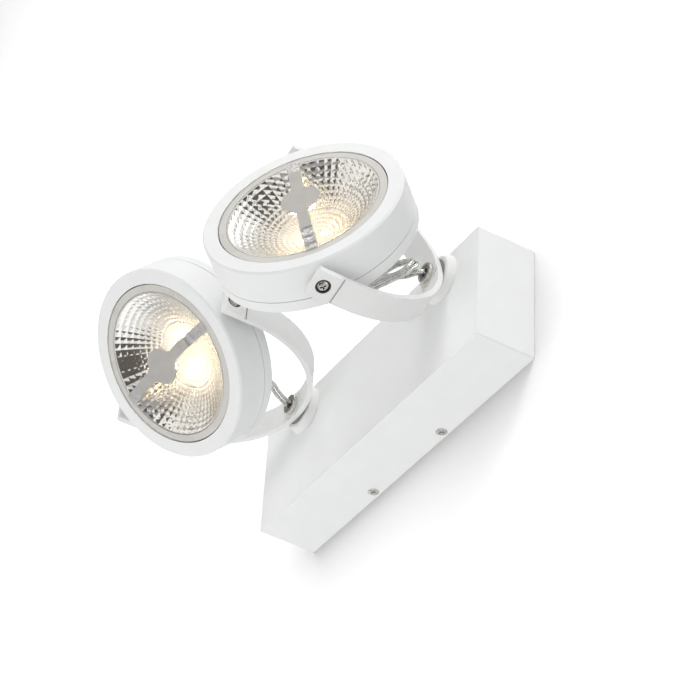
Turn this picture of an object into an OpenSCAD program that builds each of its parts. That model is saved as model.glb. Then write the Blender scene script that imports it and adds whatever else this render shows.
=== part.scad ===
// Twin wall spotlight: a sheet steel base, two swivelling yokes and two tilting heads with 111 mm lamps.
// The wall is the plane Y = 0, Z is up and the light stands out towards -Y.

/* [Base] */
// Length of the base along the wall
base_l = 264; // [250:1:320]
// Height of the base up the wall
base_h = 88; // [86:1:110]
// How far the base stands out from the wall
base_d = 43; // [40:1:60]
// Sheet thickness of the base cover
cover_t = 1.6; // [1.2:0.1:2.5]
// Sheet thickness of the wall bracket
bracket_t = 1.6; // [1.2:0.1:2.5]
// Depth of the bracket's long flanges
flange_d = 14; // [11:1:20]
// Distance of each wall slot's middle from the end of the base
slot_inset = 19; // [15:1:27]
// Width of each wall slot
slot_w = 5.5; // [4:0.5:7]
// Length of each wall slot, end to end
slot_l = 14; // [10:1:16]
// Distance of the left-hand cover screws from the base's left end
cover_screw_left = 86; // [72:1:102]
// Distance of the right-hand cover screws from the base's right end
cover_screw_right = 96; // [72:1:112]
// Distance of the cover screws from the wall
cover_screw_off = 5.2; // [4.8:0.1:6]

/* [Swivels] */
// Distance of the left swivel from the base's left end
swivel_left_in = 54; // [50:0.5:58]
// Distance of the right swivel from the base's right end
swivel_right_in = 41; // [38:0.5:46]
// Angle of the left yoke about its swivel, in degrees
swivel_left_angle = -1.4; // [-90:0.1:90]
// Angle of the right yoke about its swivel, in degrees
swivel_right_angle = -70.6; // [-90:0.1:90]
// Radius of a swivel disc where it meets the base
disc_r = 17; // [15:0.5:17]
// Thickness of a swivel disc
disc_t = 6; // [5:0.5:9]
// Thickness of the nylon washer under a yoke
washer_t = 0.7; // [0.6:0.1:1.5]
// Radius of the hollow nipple that a yoke turns on
nipple_r = 4.95; // [4.5:0.05:5.5]
// Radius of the nipple's flange
nipple_flange_r = 7; // [6.5:0.1:8]
// Thickness of the nipple's flange
nipple_flange_t = 3; // [2:0.5:4]
// Radius of the circle that the turn stop moves on
stop_r = 12; // [11:0.5:13]

/* [Yokes] */
// Straight length of a yoke's arm between its bend and its pad
arm_straight = 9.5; // [5:0.25:19]
// Gap between a head and a yoke's arm
arm_gap = 5; // [4.5:0.1:9]
// Thickness of the yoke's strap
strap_t = 3.5; // [3:0.1:4]
// Width of the yoke's strap
strap_w = 19; // [17:0.5:22]
// Length of a yoke's end pad
pad_l = 15.75; // [15:0.25:18]
// Distance from a pad's step to the pivot
pad_pivot = 8.75; // [8:0.25:10]
// How far a pad stands proud of the strap
pad_rise = 1.5; // [1:0.1:2]
// Length of the bevel at a pad's free end
pad_bevel = 2; // [1.5:0.1:3]

/* [Heads] */
// Angle of the left head from straight out, in degrees
tilt_left_angle = 45.9; // [-90:0.1:90]
// Angle of the right head from straight out, in degrees
tilt_right_angle = -40.1; // [-90:0.1:90]
// Width of the head's bezel round the lamp
bezel_w = 10.3; // [8:0.1:12]
// Front face of the head ahead of the tilt axis
head_front = 11.7; // [11:0.1:14]
// Seam between ring and rear cover, behind the tilt axis
head_seam = 11.5; // [10:0.1:13]
// Depth of the rear cover's edge behind the seam
cap_edge = 8.5; // [6.5:0.5:10.5]
// Gap round the lamp inside the drum
drum_gap = 2; // [1:0.1:4]
// Room in the drum behind the lamp, with the drum's back wall
drum_room = 6; // [5:0.5:9]
// Wall thickness of the rear cover
cap_wall = 2; // [1.5:0.1:3]

/* [Lamp] */
// Diameter of the reflector lamp
lamp_d = 111; // [110:0.5:112]
// Width of the lamp's rim round the reflector's mouth
rim_w = 4.9; // [4:0.1:6]
// Thickness of the lamp's rim
rim_t = 6.2; // [5:0.1:6.5]
// Depth of the reflector from its mouth to its bottom
bowl_depth = 23.4; // [20:0.1:24.5]
// Wall thickness of the reflector
bowl_wall = 1.2; // [0.8:0.1:1.5]
// How far the bridge stands ahead of the lamp's face
bridge_rise = 5.8; // [4:0.1:7]
// Radius of the bridge's middle plate
bridge_r = 12.4; // [10:0.1:14]
// Width of the bridge's arms
arm_w = 7.6; // [6:0.1:9]
// Length of the bridge's stepped part at each end
bridge_end_l = 17.6; // [14:0.1:21]
// Radius of the lamp's rear housing
lamp_rear_r = 23; // [21:0.5:24]
// Back of the lamp behind the tilt axis
lamp_back = 38; // [36:0.5:39]
// Number of cooling ribs round the lamp's housing
rib_count = 24; // [12:1:36]

/* [Wiring] */
// Diameter across the twin flex
flex_d = 5.6; // [5:0.1:5.7]
// Diameter of a single lead inside the base
lead_d = 2.4; // [2:0.1:3]
// Distance of the driver's case from the base's left end
driver_in_left = 80; // [76:1:96]
// Distance of the driver's case from the base's right end
driver_in_right = 44; // [40:1:60]
// Height of the driver's case
driver_h = 36; // [28:1:38]
// Thickness of the driver's case
driver_t = 22; // [18:1:24]
// Bore of the mains cable grommet
grommet_bore = 8; // [6:0.5:10]

/* [Hidden] */
// Fits and overruns
slip = 0.05;
fit = 0.3;
loose = 0.6;
over = 1;
round_fn = 96;
small_fn = 48;
half_turn = 180;
quarter_turn = 90;
full_turn = 360;

// Sides: 0 is left and 1 is right
LEFT = 0;
RIGHT = 1;
swivel_x = [-base_l / 2 + swivel_left_in, base_l / 2 - swivel_right_in];
swivel_z = base_h / 2 - disc_r;
swivel_turn = [swivel_left_angle, swivel_right_angle];
tilt = [tilt_left_angle, tilt_right_angle];

// From the lamp outwards: its mouth, the head's bezel and the yoke's arms
lamp_gap = 0.7;
bowl_lip = 1.6;
mouth_r = lamp_d / 2 - rim_w;
bowl_flange_r = mouth_r + bowl_lip;
bezel_r = lamp_d / 2 + lamp_gap;
head_r = bezel_r + bezel_w;
arm_in = head_r + arm_gap;
yoke_r = arm_in + strap_t;

// Base: cover and bracket
bracket_l = base_l - 2 * cover_t - 2 * fit;
bracket_h = base_h - 2 * cover_t - 2 * fit;
inner_face = base_h / 2 - cover_t;
slot_pitch = base_l - 2 * slot_inset;
cover_screw_x = [-base_l / 2 + cover_screw_left, base_l / 2 - cover_screw_right];
csk_head_r = 4;
csk_shank_r = 2;
csk_shank_l = 6;
csk_slot_w = 1.1;
csk_slot_l = 5;
csk_slot_depth = 1;
corner_r = 1.2;
peg_r = 1.2;
peg_h = 4;
grommet_in = 36;
grommet_x = -base_l / 2 + grommet_in;
grommet_z = 10;
grommet_lip = 2;
grommet_lip_t = 1.4;
grommet_wall = 2;

// Base: what it holds
driver_l = base_l - driver_in_left - driver_in_right;
driver_x = (driver_in_left - driver_in_right) / 2;
driver_off = 7.5;
driver_drop = -base_h / 2 + driver_off + driver_h / 2;
driver_round = 2;
driver_foot_l = 8;
driver_foot_t = 2;
driver_screw_r = 1.6;
driver_screw_head_r = 3;
driver_screw_head_t = 1.8;
block_l = 30;
block_h = 17;
block_t = 15;
block_in = 48;
block_off = 22;
block_x = -base_l / 2 + block_in;
block_z = -base_h / 2 + block_off;
block_ways = 3;
block_slot_share = 0.55;
block_screw_r = 1.6;
earth_in = 70;
earth_off = 56;
earth_x = -base_l / 2 + earth_in;
earth_z = -base_h / 2 + earth_off;
earth_r = 2;
earth_head_r = 4.2;
earth_head_t = 2.2;
earth_l = 9;

// Swivel stack, measured outwards from the base's front face
disc_edge_share = 0.25;
disc_taper_share = 0.7;
disc_top_in = 3;
disc_side_in = 1.2;
disc_top_r = disc_r - disc_top_in;
disc_side_r = disc_r - disc_side_in;
washer_r = 12;
washer_z = disc_t + fit;
yoke_foot = washer_z + washer_t;
seat_rise = 0.7;
seat_in = 0.1;
seat_h = strap_t + seat_rise;
seat_r = strap_w / 2 - seat_in;
flange_z = yoke_foot + seat_h;
nipple_top = flange_z + nipple_flange_t;
flex_slack = 0.2;
dish_wall = 1.7;
dish_floor = 1;
nipple_bore = flex_d / 2 + flex_slack;
dish_r = nipple_flange_r - dish_wall;
dish_depth = nipple_flange_t - dish_floor;
bush_sink = 0.5;
stop_t = 1.5;
stop_hub_r = 9;
stop_tab_w = 1.6;
stop_tab_reach = stop_r + peg_r;
stop_z = -cover_t - fit - stop_t;
nut_t = 4;
nut_flats = 14;
nut_z = stop_z - nut_t;
nipple_tail = 2.5;
nipple_low = nut_z - nipple_tail;

// Yoke
bend_z = yoke_foot + yoke_r;
pad_low = bend_z + arm_straight;
pivot_h = pad_low + pad_pivot;
pad_high = pad_low + pad_l;
pad_out = yoke_r + pad_rise;
pad_bevel_t = 1.4;
groove_w = 1.8;
groove_depth = 0.7;

// Tilt pivots, measured outwards along the tilt axis
bush_r = 4.9;
screw_r = 2.5;
screw_head_r = 3.7;
screw_head_sink = 1.8;
screw_head_low = pad_out - screw_head_sink;
screw_head_t = 2.1;
screw_dome_t = 0.8;
bush_sink_r = screw_head_r + fit;
collar_r = 4.6;
spot_depth = 0.4;
spot_x = head_r - spot_depth;
screw_grip = 5;
screw_reach = head_r - screw_grip;
cross_l = 3.8;
cross_w = 0.9;
cross_depth = 1.2;

// Head ring and rear cover
head_back = head_seam + cap_edge;
lamp_sink = 0.5;
lamp_face = head_front - lamp_sink;
shoulder_top = lamp_face - rim_t - slip;
shoulder_t = 2.5;
shoulder_gap = 0.4;
shoulder_r = bowl_flange_r + shoulder_gap;
bore_step = 0.8;
ring_bore_r = bezel_r + bore_step;
ring_round = 1.2;
seam_gap = 0.5;
seam_depth = 1.5;
cap_lip = 3;
cap_cone_in = 4;
cap_cone_drop = 5;
cap_flange_r = ring_bore_r - cap_lip;
cap_round = 1;
cap_cone_r = cap_flange_r - cap_cone_in;
cap_cone_end = head_back + cap_cone_drop;
drum_r = lamp_rear_r + drum_gap + cap_wall;
drum_back = lamp_back + drum_room;
gland_r = 4.8;
gland_l = 6;
gland_flange_r = 6.5;
gland_flange_t = 1.5;
gland_tip_r = 3.9;
cap_screw_at = (ring_bore_r + head_r) / 2;
cap_screw_r = 1.5;
cap_screw_head_r = 2.75;
cap_screw_head_t = 2;
cap_screw_l = 12;
cap_screw_first = 30;
cap_screw_count = 3;

// Lamp
bridge_reach = mouth_r - bridge_end_l;
rim_step = 1.8;
bowl_top = lamp_face - rim_step;
bowl_low = bowl_top - bowl_depth;
bowl_flange_t = 1;
bowl_slant = 1.4;
bowl_steps = 14;
bowl_hole_r = 4;
plate_t = 1.5;
plate_z = lamp_face + bridge_rise;
bridge_base_t = 2.2;
bridge_fillet_r = 7;
arm_steps = 3;
module_r = 9;
module_t = 1.6;
dome_r = 6.5;
dome_t = 0.8;
housing_in = 3.7;
housing_r = lamp_d / 2 - housing_in;
housing_wall = 1.5;
housing_side = 6;
housing_cone_end = 24;
housing_lip = 1;
housing_low = 1.2;
housing_top = bowl_top - bowl_flange_t - housing_low;
rib_t = 1.2;
rib_outer_z = 15;
rib_end_out = 7;
rib_end_r = lamp_rear_r + rib_end_out;
rib_end_z = 19.8;
contact_in = 10;
contact_at = lamp_rear_r - contact_in;
contact_w = 7;
contact_t = 1;
contact_l = 3;
socket_in = 5;
socket_r = lamp_rear_r - socket_in;
socket_t = 2.6;
clip_w = 8;
clip_t = 0.8;
clip_drop = 6;
clip_count = 3;
clip_first = 90;

// The slack part of each flex in its yoke's own frame, laid for a tilt axis at this height
laid_h = 100.25;
slack_left = [
    [0, 1.5, 18.5], [0, 4.5, 23], [0, 8.5, 27], [-1, 14, 31.5], [-2, 20.5, 35], [-3, 27.5, 37],
    [-3, 34.5, 38], [-3, 41, 40], [-3, 45.5, 44], [-2, 47, 49.5], [-1, 44.5, 55.5]
];
slack_right = [
    [0, -0.7, 16], [0, -3, 19], [-0.5, -7, 23], [-1, -11, 28], [-1.5, -16, 33], [-2, -22, 38],
    [-1, -27.5, 42.5], [2, -30, 45.5], [6, -27.5, 45.5], [8.5, -22, 43], [9, -16, 39.3],
    [9, -10.5, 35.7], [8.5, -5.5, 32], [7, -0.8, 28.5], [4.3, 2.4, 25.5], [0.3, 3.9, 23.3],
    [-3.8, 1.3, 23.7], [-7, -3.2, 26.8], [-8.8, -9.5, 30.5], [-9.3, -16.5, 33.3], [-9.3, -24, 35.7],
    [-8, -31.5, 39], [-5, -37, 44], [-2, -38.5, 50]
];
flex_low = 11;
flex_first = 2;
flex_bore_top = 8;
flex_above = [14, 13];
flex_lead_in = 6;
flex_lead_on = 3;
// Each whole flex: straight up the nipple, slack, then straight into the head's gland
function in_head(side, back) = [0, back * sin(tilt[side]), pivot_h - back * cos(tilt[side])];
function flex_route(side, slack) = concat(
    [[0, 0, -flex_low], [0, 0, -flex_first], [0, 0, flex_bore_top], [0, 0, flex_above[side]]],
    [for (p = slack) p * pivot_h / laid_h],
    [for (back = [gland_l + flex_lead_in, gland_l, -flex_lead_on]) in_head(side, drum_back + back)]
);
// Leads inside the base, measured from the lower corner of the nearer end
mains_route_a = [[63.1, -11, 27], [68, -11, 27], [75, -11, 29], [79.9, -11, 29]];
mains_route_b = [[63.1, -11, 23], [68, -11, 23], [75, -11, 25], [79.9, -11, 25]];
earth_route = [[42, -9, 30.6], [42, -9, 36], [46, -9, 46], [55, -8, 54], [63, -7.5, 56],
    [67.9, -7.5, 56]];
left_run_a = [[55, -22, 65], [62, -19, 55], [68, -17, 43], [71, -16, 34], [75, -16, 31],
    [79.9, -16, 31]];
left_run_b = [[58, -22, 65], [65, -19, 56], [71, -17, 45], [74, -16, 38], [76, -16, 35],
    [79.9, -16, 34]];
right_run_a = [[-39, -22, 64], [-35.7, -19, 54], [-35.3, -17, 44], [-37, -16, 37], [-39.5, -16, 34.5],
    [-43.9, -16, 34]];
right_run_b = [[-36, -22, 64], [-32.7, -19, 54], [-32.3, -17, 43], [-34, -16, 35], [-37, -16, 31.5],
    [-43.9, -16, 31]];
core_off = 1.3;
core_gap = 0.1;
core_straight = 4.9;
function end_x(side) = side == LEFT ? -base_l / 2 : base_l / 2;
function from_corner(side, run) = [for (p = run) p + [end_x(side), 0, -base_h / 2]];
function from_flex(side, off) = [for (y = [0, core_straight])
    [swivel_x[side] + off, -base_d + flex_low + core_gap + y, swivel_z]];
tube_sides = 8;

// Places a yoke's parts: its own Z runs out along the swivel axis, its X along the tilt axis
module at_swivel(side) {
    translate([swivel_x[side], -base_d, swivel_z]) rotate([quarter_turn, 0, 0]) children();
}
module at_yoke(side) {
    at_swivel(side) rotate([0, 0, swivel_turn[side]]) children();
}
// Places a head's parts: its own Z is the way the lamp faces
module at_head(side) {
    at_yoke(side) translate([0, 0, pivot_h]) rotate([tilt[side], 0, 0]) children();
}
// Stands children on the two pivots, with Z pointing outwards along the tilt axis
module at_pivots() {
    for (way = [0, half_turn]) rotate([0, 0, way]) rotate([0, quarter_turn, 0]) children();
}
// A tube from z = low to z = high
module pipe(low, high, outer, inner) {
    difference() {
        translate([0, 0, low]) cylinder(h = high - low, r = outer, $fn = round_fn);
        translate([0, 0, low - over]) cylinder(h = high - low + 2 * over, r = inner, $fn = round_fn);
    }
}
module rod(low, high, r) {
    translate([0, 0, low]) cylinder(h = high - low, r = r, $fn = small_fn);
}
module block(low, high) {
    translate(low) cube(high - low);
}

// Sweeping a round tube along a route
function unit(v) = v / norm(v);
function heading(p, i) = unit(p[min(i + 1, len(p) - 1)] - p[max(i - 1, 0)]);
function square_to(n, t) = unit(n - (n * t) * t);
function normals(p, i = 0, n = [1, 0.13, 0.07]) =
    let (now = square_to(n, heading(p, i)))
    i == len(p) - 1 ? [now] : concat([now], normals(p, i + 1, now));
function tube_points(p, r, ns) = [
    for (i = [0:len(p) - 1]) let (a = ns[i], b = cross(heading(p, i), a))
        for (k = [0:tube_sides - 1]) let (t = full_turn * k / tube_sides)
            p[i] + r * (cos(t) * a + sin(t) * b)
];
function tube_faces(n, s) = concat(
    [[for (k = [0:s - 1]) k]],
    [for (i = [0:n - 2]) for (k = [0:s - 1]) let (m = (k + 1) % s)
        [i * s + k, (i + 1) * s + k, (i + 1) * s + m]],
    [for (i = [0:n - 2]) for (k = [0:s - 1]) let (m = (k + 1) % s)
        [i * s + k, (i + 1) * s + m, i * s + m]],
    [[for (k = [s - 1:-1:0]) (n - 1) * s + k]]
);
module tube(route, d) {
    polyhedron(tube_points(route, d / 2, normals(route)), tube_faces(len(route), tube_sides));
}

// Folded steel cover: a front and four sides, open to the wall
module base_cover() {
    color([0.9, 0.91, 0.9]) difference() {
        union() {
            difference() {
                rounded_box(base_l, base_h, base_d);
                block([-base_l / 2 + cover_t, -base_d + cover_t, -inner_face],
                      [base_l / 2 - cover_t, over, inner_face]);
            }
            for (side = [LEFT, RIGHT]) at_swivel(side)
                translate([0, stop_r, -peg_h]) rod(0, peg_h - over / 2, peg_r);
        }
        for (side = [LEFT, RIGHT]) at_swivel(side) rod(-cover_t - over, over, nipple_r + fit);
        at_cover_screws() countersink(slip);
    }
}
// A block from the wall out to its depth, with its four long corners rounded
module rounded_box(l, h, d) {
    rotate([quarter_turn, 0, 0]) linear_extrude(height = d) union() {
        square([l - 2 * corner_r, h], center = true);
        square([l, h - 2 * corner_r], center = true);
        for (x = [-1, 1]) for (y = [-1, 1])
            translate([x * (l / 2 - corner_r), y * (h / 2 - corner_r)]) circle(r = corner_r, $fn = small_fn);
    }
}
// Two screws below and two above, each with Z pointing into the base
module at_cover_screws() {
    for (x = cover_screw_x) for (way = [0, half_turn])
        translate([x, -cover_screw_off, 0]) rotate([0, way, 0])
            translate([0, 0, -base_h / 2]) children();
}
module countersink(gap) {
    cylinder(h = csk_head_r - csk_shank_r, r1 = csk_head_r + gap, r2 = csk_shank_r + gap, $fn = small_fn);
    rod(-over, 0, csk_head_r + gap);
    rod(0, csk_shank_l + over, csk_shank_r + gap);
}
// Steel plate on the wall with two long flanges that take the cover screws
module wall_bracket() {
    color([0.75, 0.76, 0.77]) difference() {
        union() {
            block([-bracket_l / 2, -bracket_t, -bracket_h / 2], [bracket_l / 2, 0, bracket_h / 2]);
            for (low = [-bracket_h / 2, bracket_h / 2 - bracket_t])
                block([-bracket_l / 2 + flange_d, -flange_d, low],
                      [bracket_l / 2 - flange_d, 0, low + bracket_t]);
        }
        for (x = [-slot_pitch / 2, slot_pitch / 2]) translate([x, 0, 0]) wall_slot();
        at_cover_screws() rod(0, csk_shank_l + over, csk_shank_r + slip);
        translate([grommet_x, 0, grommet_z]) rotate([quarter_turn, 0, 0])
            rod(-over, bracket_t + over, grommet_bore / 2 + grommet_wall);
        translate([earth_x, 0, earth_z]) rotate([quarter_turn, 0, 0])
            rod(-over, bracket_t + over, earth_r + slip);
        at_driver_screws() rod(-bracket_t - over, over, driver_screw_r + slip);
    }
}
module wall_slot() {
    reach = (slot_l - slot_w) / 2;
    rotate([quarter_turn, 0, 0]) union() {
        for (x = [-reach, reach]) translate([x, 0, 0]) rod(-over, bracket_t + over, slot_w / 2);
        block([-reach, -slot_w / 2, -over], [reach, slot_w / 2, bracket_t + over]);
    }
}
// Countersunk machine screws with cross recesses
module cover_screws() {
    color([0.8, 0.79, 0.76]) at_cover_screws() difference() {
        union() {
            cylinder(h = csk_head_r - csk_shank_r, r1 = csk_head_r, r2 = csk_shank_r, $fn = small_fn);
            rod(0, csk_shank_l, csk_shank_r);
        }
        cross_cut(csk_slot_l, csk_slot_w, csk_slot_depth);
    }
}
// A cross recess cut down from z = 0 into +Z
module cross_cut(l, w, depth) {
    for (turn = [0, quarter_turn]) rotate([0, 0, turn])
        block([-l / 2, -w / 2, -over], [l / 2, w / 2, depth]);
}

// Electronic driver for both lamps
module driver() {
    color([0.93, 0.93, 0.91]) difference() {
        union() {
            translate([driver_x, -bracket_t, driver_drop])
                rotate([quarter_turn, 0, 0]) linear_extrude(height = driver_t) driver_outline();
            translate([driver_x, 0, driver_drop])
                block([-driver_l / 2 - driver_foot_l, -bracket_t - driver_foot_t, -driver_h / 4],
                      [driver_l / 2 + driver_foot_l, -bracket_t, driver_h / 4]);
        }
        at_driver_screws() rod(-over, driver_t, driver_screw_r + slip);
    }
}
module driver_outline() {
    square([driver_l - 2 * driver_round, driver_h], center = true);
    square([driver_l, driver_h - 2 * driver_round], center = true);
    for (x = [-1, 1]) for (y = [-1, 1])
        translate([x * (driver_l / 2 - driver_round), y * (driver_h / 2 - driver_round)])
            circle(r = driver_round, $fn = small_fn);
}
// The driver's feet, with Z pointing out from the bracket's face
module at_driver_screws() {
    for (way = [-1, 1])
        translate([driver_x + way * (driver_l + driver_foot_l) / 2, -bracket_t, driver_drop])
            rotate([quarter_turn, 0, 0]) children();
}
module driver_screws() {
    color([0.75, 0.75, 0.76]) at_driver_screws() difference() {
        union() {
            rod(-bracket_t, driver_foot_t, driver_screw_r);
            rod(driver_foot_t, driver_foot_t + driver_screw_head_t, driver_screw_head_r);
        }
        translate([0, 0, driver_foot_t + driver_screw_head_t]) mirror([0, 0, 1])
            cross_cut(driver_screw_head_r, csk_slot_w, csk_slot_depth);
    }
}
// Three-way mains terminal block
module terminal_block() {
    way = block_l / block_ways;
    color([0.92, 0.92, 0.88]) translate([block_x, -bracket_t, block_z]) rotate([quarter_turn, 0, 0])
        difference() {
            block([-block_l / 2, -block_h / 2, 0], [block_l / 2, block_h / 2, block_t]);
            for (i = [0:block_ways - 1]) translate([-block_l / 2 + way * (i + 0.5), 0, 0])
                for (y = [-block_h / 4, block_h / 4]) translate([0, y, 0])
                    rod(block_t * block_slot_share, block_t + over, block_screw_r + slip);
        }
}
module terminal_screws() {
    way = block_l / block_ways;
    color([0.8, 0.75, 0.5]) translate([block_x, -bracket_t, block_z]) rotate([quarter_turn, 0, 0])
        for (i = [0:block_ways - 1]) translate([-block_l / 2 + way * (i + 0.5), 0, 0])
            for (y = [-block_h / 4, block_h / 4]) translate([0, y, 0])
                rod(block_t * block_slot_share, block_t - csk_slot_depth, block_screw_r);
}
module earth_screw() {
    color([0.8, 0.75, 0.5]) translate([earth_x, 0, earth_z]) rotate([quarter_turn, 0, 0]) difference() {
        union() {
            rod(0, earth_l, earth_r);
            rod(earth_l, earth_l + earth_head_t, earth_head_r);
            rod(bracket_t, bracket_t + earth_head_t, earth_head_r);
        }
        translate([0, 0, earth_l + earth_head_t]) mirror([0, 0, 1])
            cross_cut(csk_slot_l, csk_slot_w, csk_slot_depth);
    }
}
module earth_lead() {
    color([0.45, 0.65, 0.15]) tube(from_corner(LEFT, earth_route), lead_d);
}
module mains_leads() {
    color([0.45, 0.25, 0.12]) tube(from_corner(LEFT, mains_route_a), lead_d);
    color([0.2, 0.35, 0.7]) tube(from_corner(LEFT, mains_route_b), lead_d);
}
module lamp_leads_left() {
    color([0.7, 0.1, 0.1])
        tube(concat(from_flex(LEFT, -core_off), from_corner(LEFT, left_run_a)), lead_d);
    color([0.1, 0.1, 0.1])
        tube(concat(from_flex(LEFT, core_off), from_corner(LEFT, left_run_b)), lead_d);
}
module lamp_leads_right() {
    color([0.7, 0.1, 0.1])
        tube(concat(from_flex(RIGHT, -core_off), from_corner(RIGHT, right_run_a)), lead_d);
    color([0.1, 0.1, 0.1])
        tube(concat(from_flex(RIGHT, core_off), from_corner(RIGHT, right_run_b)), lead_d);
}
// Rubber grommet for the mains cable, snapped into the bracket
module cable_grommet() {
    hub = grommet_bore / 2 + grommet_wall - slip;
    color([0.12, 0.12, 0.12]) translate([grommet_x, 0, grommet_z]) rotate([quarter_turn, 0, 0])
        difference() {
            union() {
                rod(0, bracket_t + grommet_lip_t, hub);
                rod(bracket_t, bracket_t + grommet_lip_t, hub + grommet_lip);
            }
            rod(-over, bracket_t + grommet_lip_t + over, grommet_bore / 2);
        }
}

// Turned disc between base and yoke, with a tapered side and a rounded edge
module swivel_disc(side) {
    color([0.9, 0.91, 0.9]) at_swivel(side) rotate_extrude($fn = round_fn) polygon([
        [nipple_r + slip, 0], [disc_r, 0], [disc_r, disc_t * disc_edge_share],
        [disc_side_r, disc_t * disc_taper_share],
        [(disc_side_r + disc_top_r) / 2 + slip, disc_t - loose / 2],
        [disc_top_r, disc_t], [nipple_r + slip, disc_t]
    ]);
}
module swivel_disc_left() { swivel_disc(LEFT); }
module swivel_disc_right() { swivel_disc(RIGHT); }

// Bent flat strap with a seat at its foot and a thicker square pad at each end
module yoke(side) {
    color([0.9, 0.91, 0.9]) at_yoke(side) difference() {
        union() {
            strap();
            rod(yoke_foot, flange_z, seat_r);
        }
        rod(yoke_foot - over, flange_z + over, nipple_r + slip / 2);
        translate([0, 0, pivot_h]) at_pivots() rod(arm_in - over, pad_out + over, bush_r);
    }
}
// The strap's outline from pad to pad, seen along its width, with a groove where each pad begins
function bend(r, turns) = [for (a = turns) [r * cos(a), bend_z + r * sin(a)]];
function arm(way) = [
    [way * yoke_r, pad_low - groove_w], [way * (yoke_r - groove_depth), pad_low - groove_w],
    [way * (yoke_r - groove_depth), pad_low], [way * pad_out, pad_low],
    [way * pad_out, pad_high - pad_bevel],
    [way * (pad_out - pad_bevel_t), pad_high], [way * arm_in, pad_high]
];
function backwards(list) = [for (i = [len(list) - 1:-1:0]) list[i]];
module strap() {
    turns = [half_turn:half_turn / round_fn:full_turn];
    rotate([quarter_turn, 0, 0]) translate([0, 0, -strap_w / 2]) linear_extrude(height = strap_w)
        polygon(concat(
            bend(yoke_r, turns), arm(1), backwards(bend(arm_in, turns)), backwards(arm(-1))
        ));
}
module yoke_left() { yoke(LEFT); }
module yoke_right() { yoke(RIGHT); }

// Hollow nipple with a dished flange; the flex runs through it and the yoke turns with it
module swivel_nipple(side) {
    color([0.78, 0.74, 0.66]) at_yoke(side) difference() {
        union() {
            rod(nipple_low, flange_z, nipple_r - slip / 2);
            rod(flange_z, nipple_top, nipple_flange_r);
        }
        rod(nipple_low - over, nipple_top + over, nipple_bore);
        rod(nipple_top - dish_depth, nipple_top + over, dish_r);
    }
}
module swivel_nipple_left() { swivel_nipple(LEFT); }
module swivel_nipple_right() { swivel_nipple(RIGHT); }
module nipple_bush(side) {
    color([0.35, 0.36, 0.38]) at_yoke(side)
        pipe(nipple_top - dish_depth, nipple_top - bush_sink, dish_r - slip, nipple_bore - slip);
}
module nipple_bush_left() { nipple_bush(LEFT); }
module nipple_bush_right() { nipple_bush(RIGHT); }
module swivel_washer(side) {
    color([0.15, 0.15, 0.15]) at_yoke(side) pipe(washer_z, yoke_foot, washer_r, nipple_r + slip);
}
module swivel_washer_left() { swivel_washer(LEFT); }
module swivel_washer_right() { swivel_washer(RIGHT); }
// Washer whose tab meets the peg in the cover after 170 degrees each way
module stop_washer(side) {
    color([0.75, 0.75, 0.76]) at_yoke(side) difference() {
        union() {
            rod(stop_z, stop_z + stop_t, stop_hub_r);
            block([-stop_tab_w / 2, -stop_tab_reach, stop_z], [stop_tab_w / 2, 0, stop_z + stop_t]);
        }
        rod(stop_z - over, stop_z + stop_t + over, nipple_r + slip);
    }
}
module stop_washer_left() { stop_washer(LEFT); }
module stop_washer_right() { stop_washer(RIGHT); }
module lock_nut(side) {
    color([0.75, 0.75, 0.76]) at_yoke(side) difference() {
        translate([0, 0, nut_z]) cylinder(h = nut_t, r = nut_flats / 2 / cos(half_turn / 6), $fn = 6);
        rod(nut_z - over, nut_z + nut_t + over, nipple_r + slip);
    }
}
module lock_nut_left() { lock_nut(LEFT); }
module lock_nut_right() { lock_nut(RIGHT); }
// Nylon bushes pressed into the pads; each is sunk round the screw's head
module pivot_bushes(side) {
    color([0.07, 0.07, 0.07]) at_yoke(side) translate([0, 0, pivot_h]) at_pivots() difference() {
        rod(arm_in, pad_out - slip, bush_r - slip);
        rod(arm_in - over, pad_out + over, screw_r + slip);
        rod(screw_head_low - slip, pad_out + over, bush_sink_r);
    }
}
module pivot_bushes_left() { pivot_bushes(LEFT); }
module pivot_bushes_right() { pivot_bushes(RIGHT); }
// Clear twin flex, slack between the nipple and the head's gland
module flex_left() {
    color([0.8, 0.8, 0.78]) at_yoke(LEFT) tube(flex_route(LEFT, slack_left), flex_d);
}
module flex_right() {
    color([0.8, 0.8, 0.78]) at_yoke(RIGHT) tube(flex_route(RIGHT, slack_right), flex_d);
}

// Cast ring that carries the lamp on a shoulder and the pivots in its wall
module head_ring(side) {
    color([0.9, 0.91, 0.9]) at_head(side) difference() {
        rotate_extrude($fn = round_fn) polygon([
            [bezel_r, head_front], [head_r - ring_round, head_front], [head_r, head_front - ring_round],
            [head_r, -head_seam], [ring_bore_r, -head_seam], [ring_bore_r, shoulder_top - shoulder_t],
            [shoulder_r, shoulder_top - shoulder_t], [shoulder_r, shoulder_top], [bezel_r, shoulder_top]
        ]);
        at_pivots() rod(spot_x, head_r + over, collar_r + fit);
        at_pivots() rod(0, head_r + over, screw_r + slip);
        at_rear_screws() rod(-over, cap_screw_l + over, cap_screw_r + slip);
    }
}
module head_ring_left() { head_ring(LEFT); }
module head_ring_right() { head_ring(RIGHT); }
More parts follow.
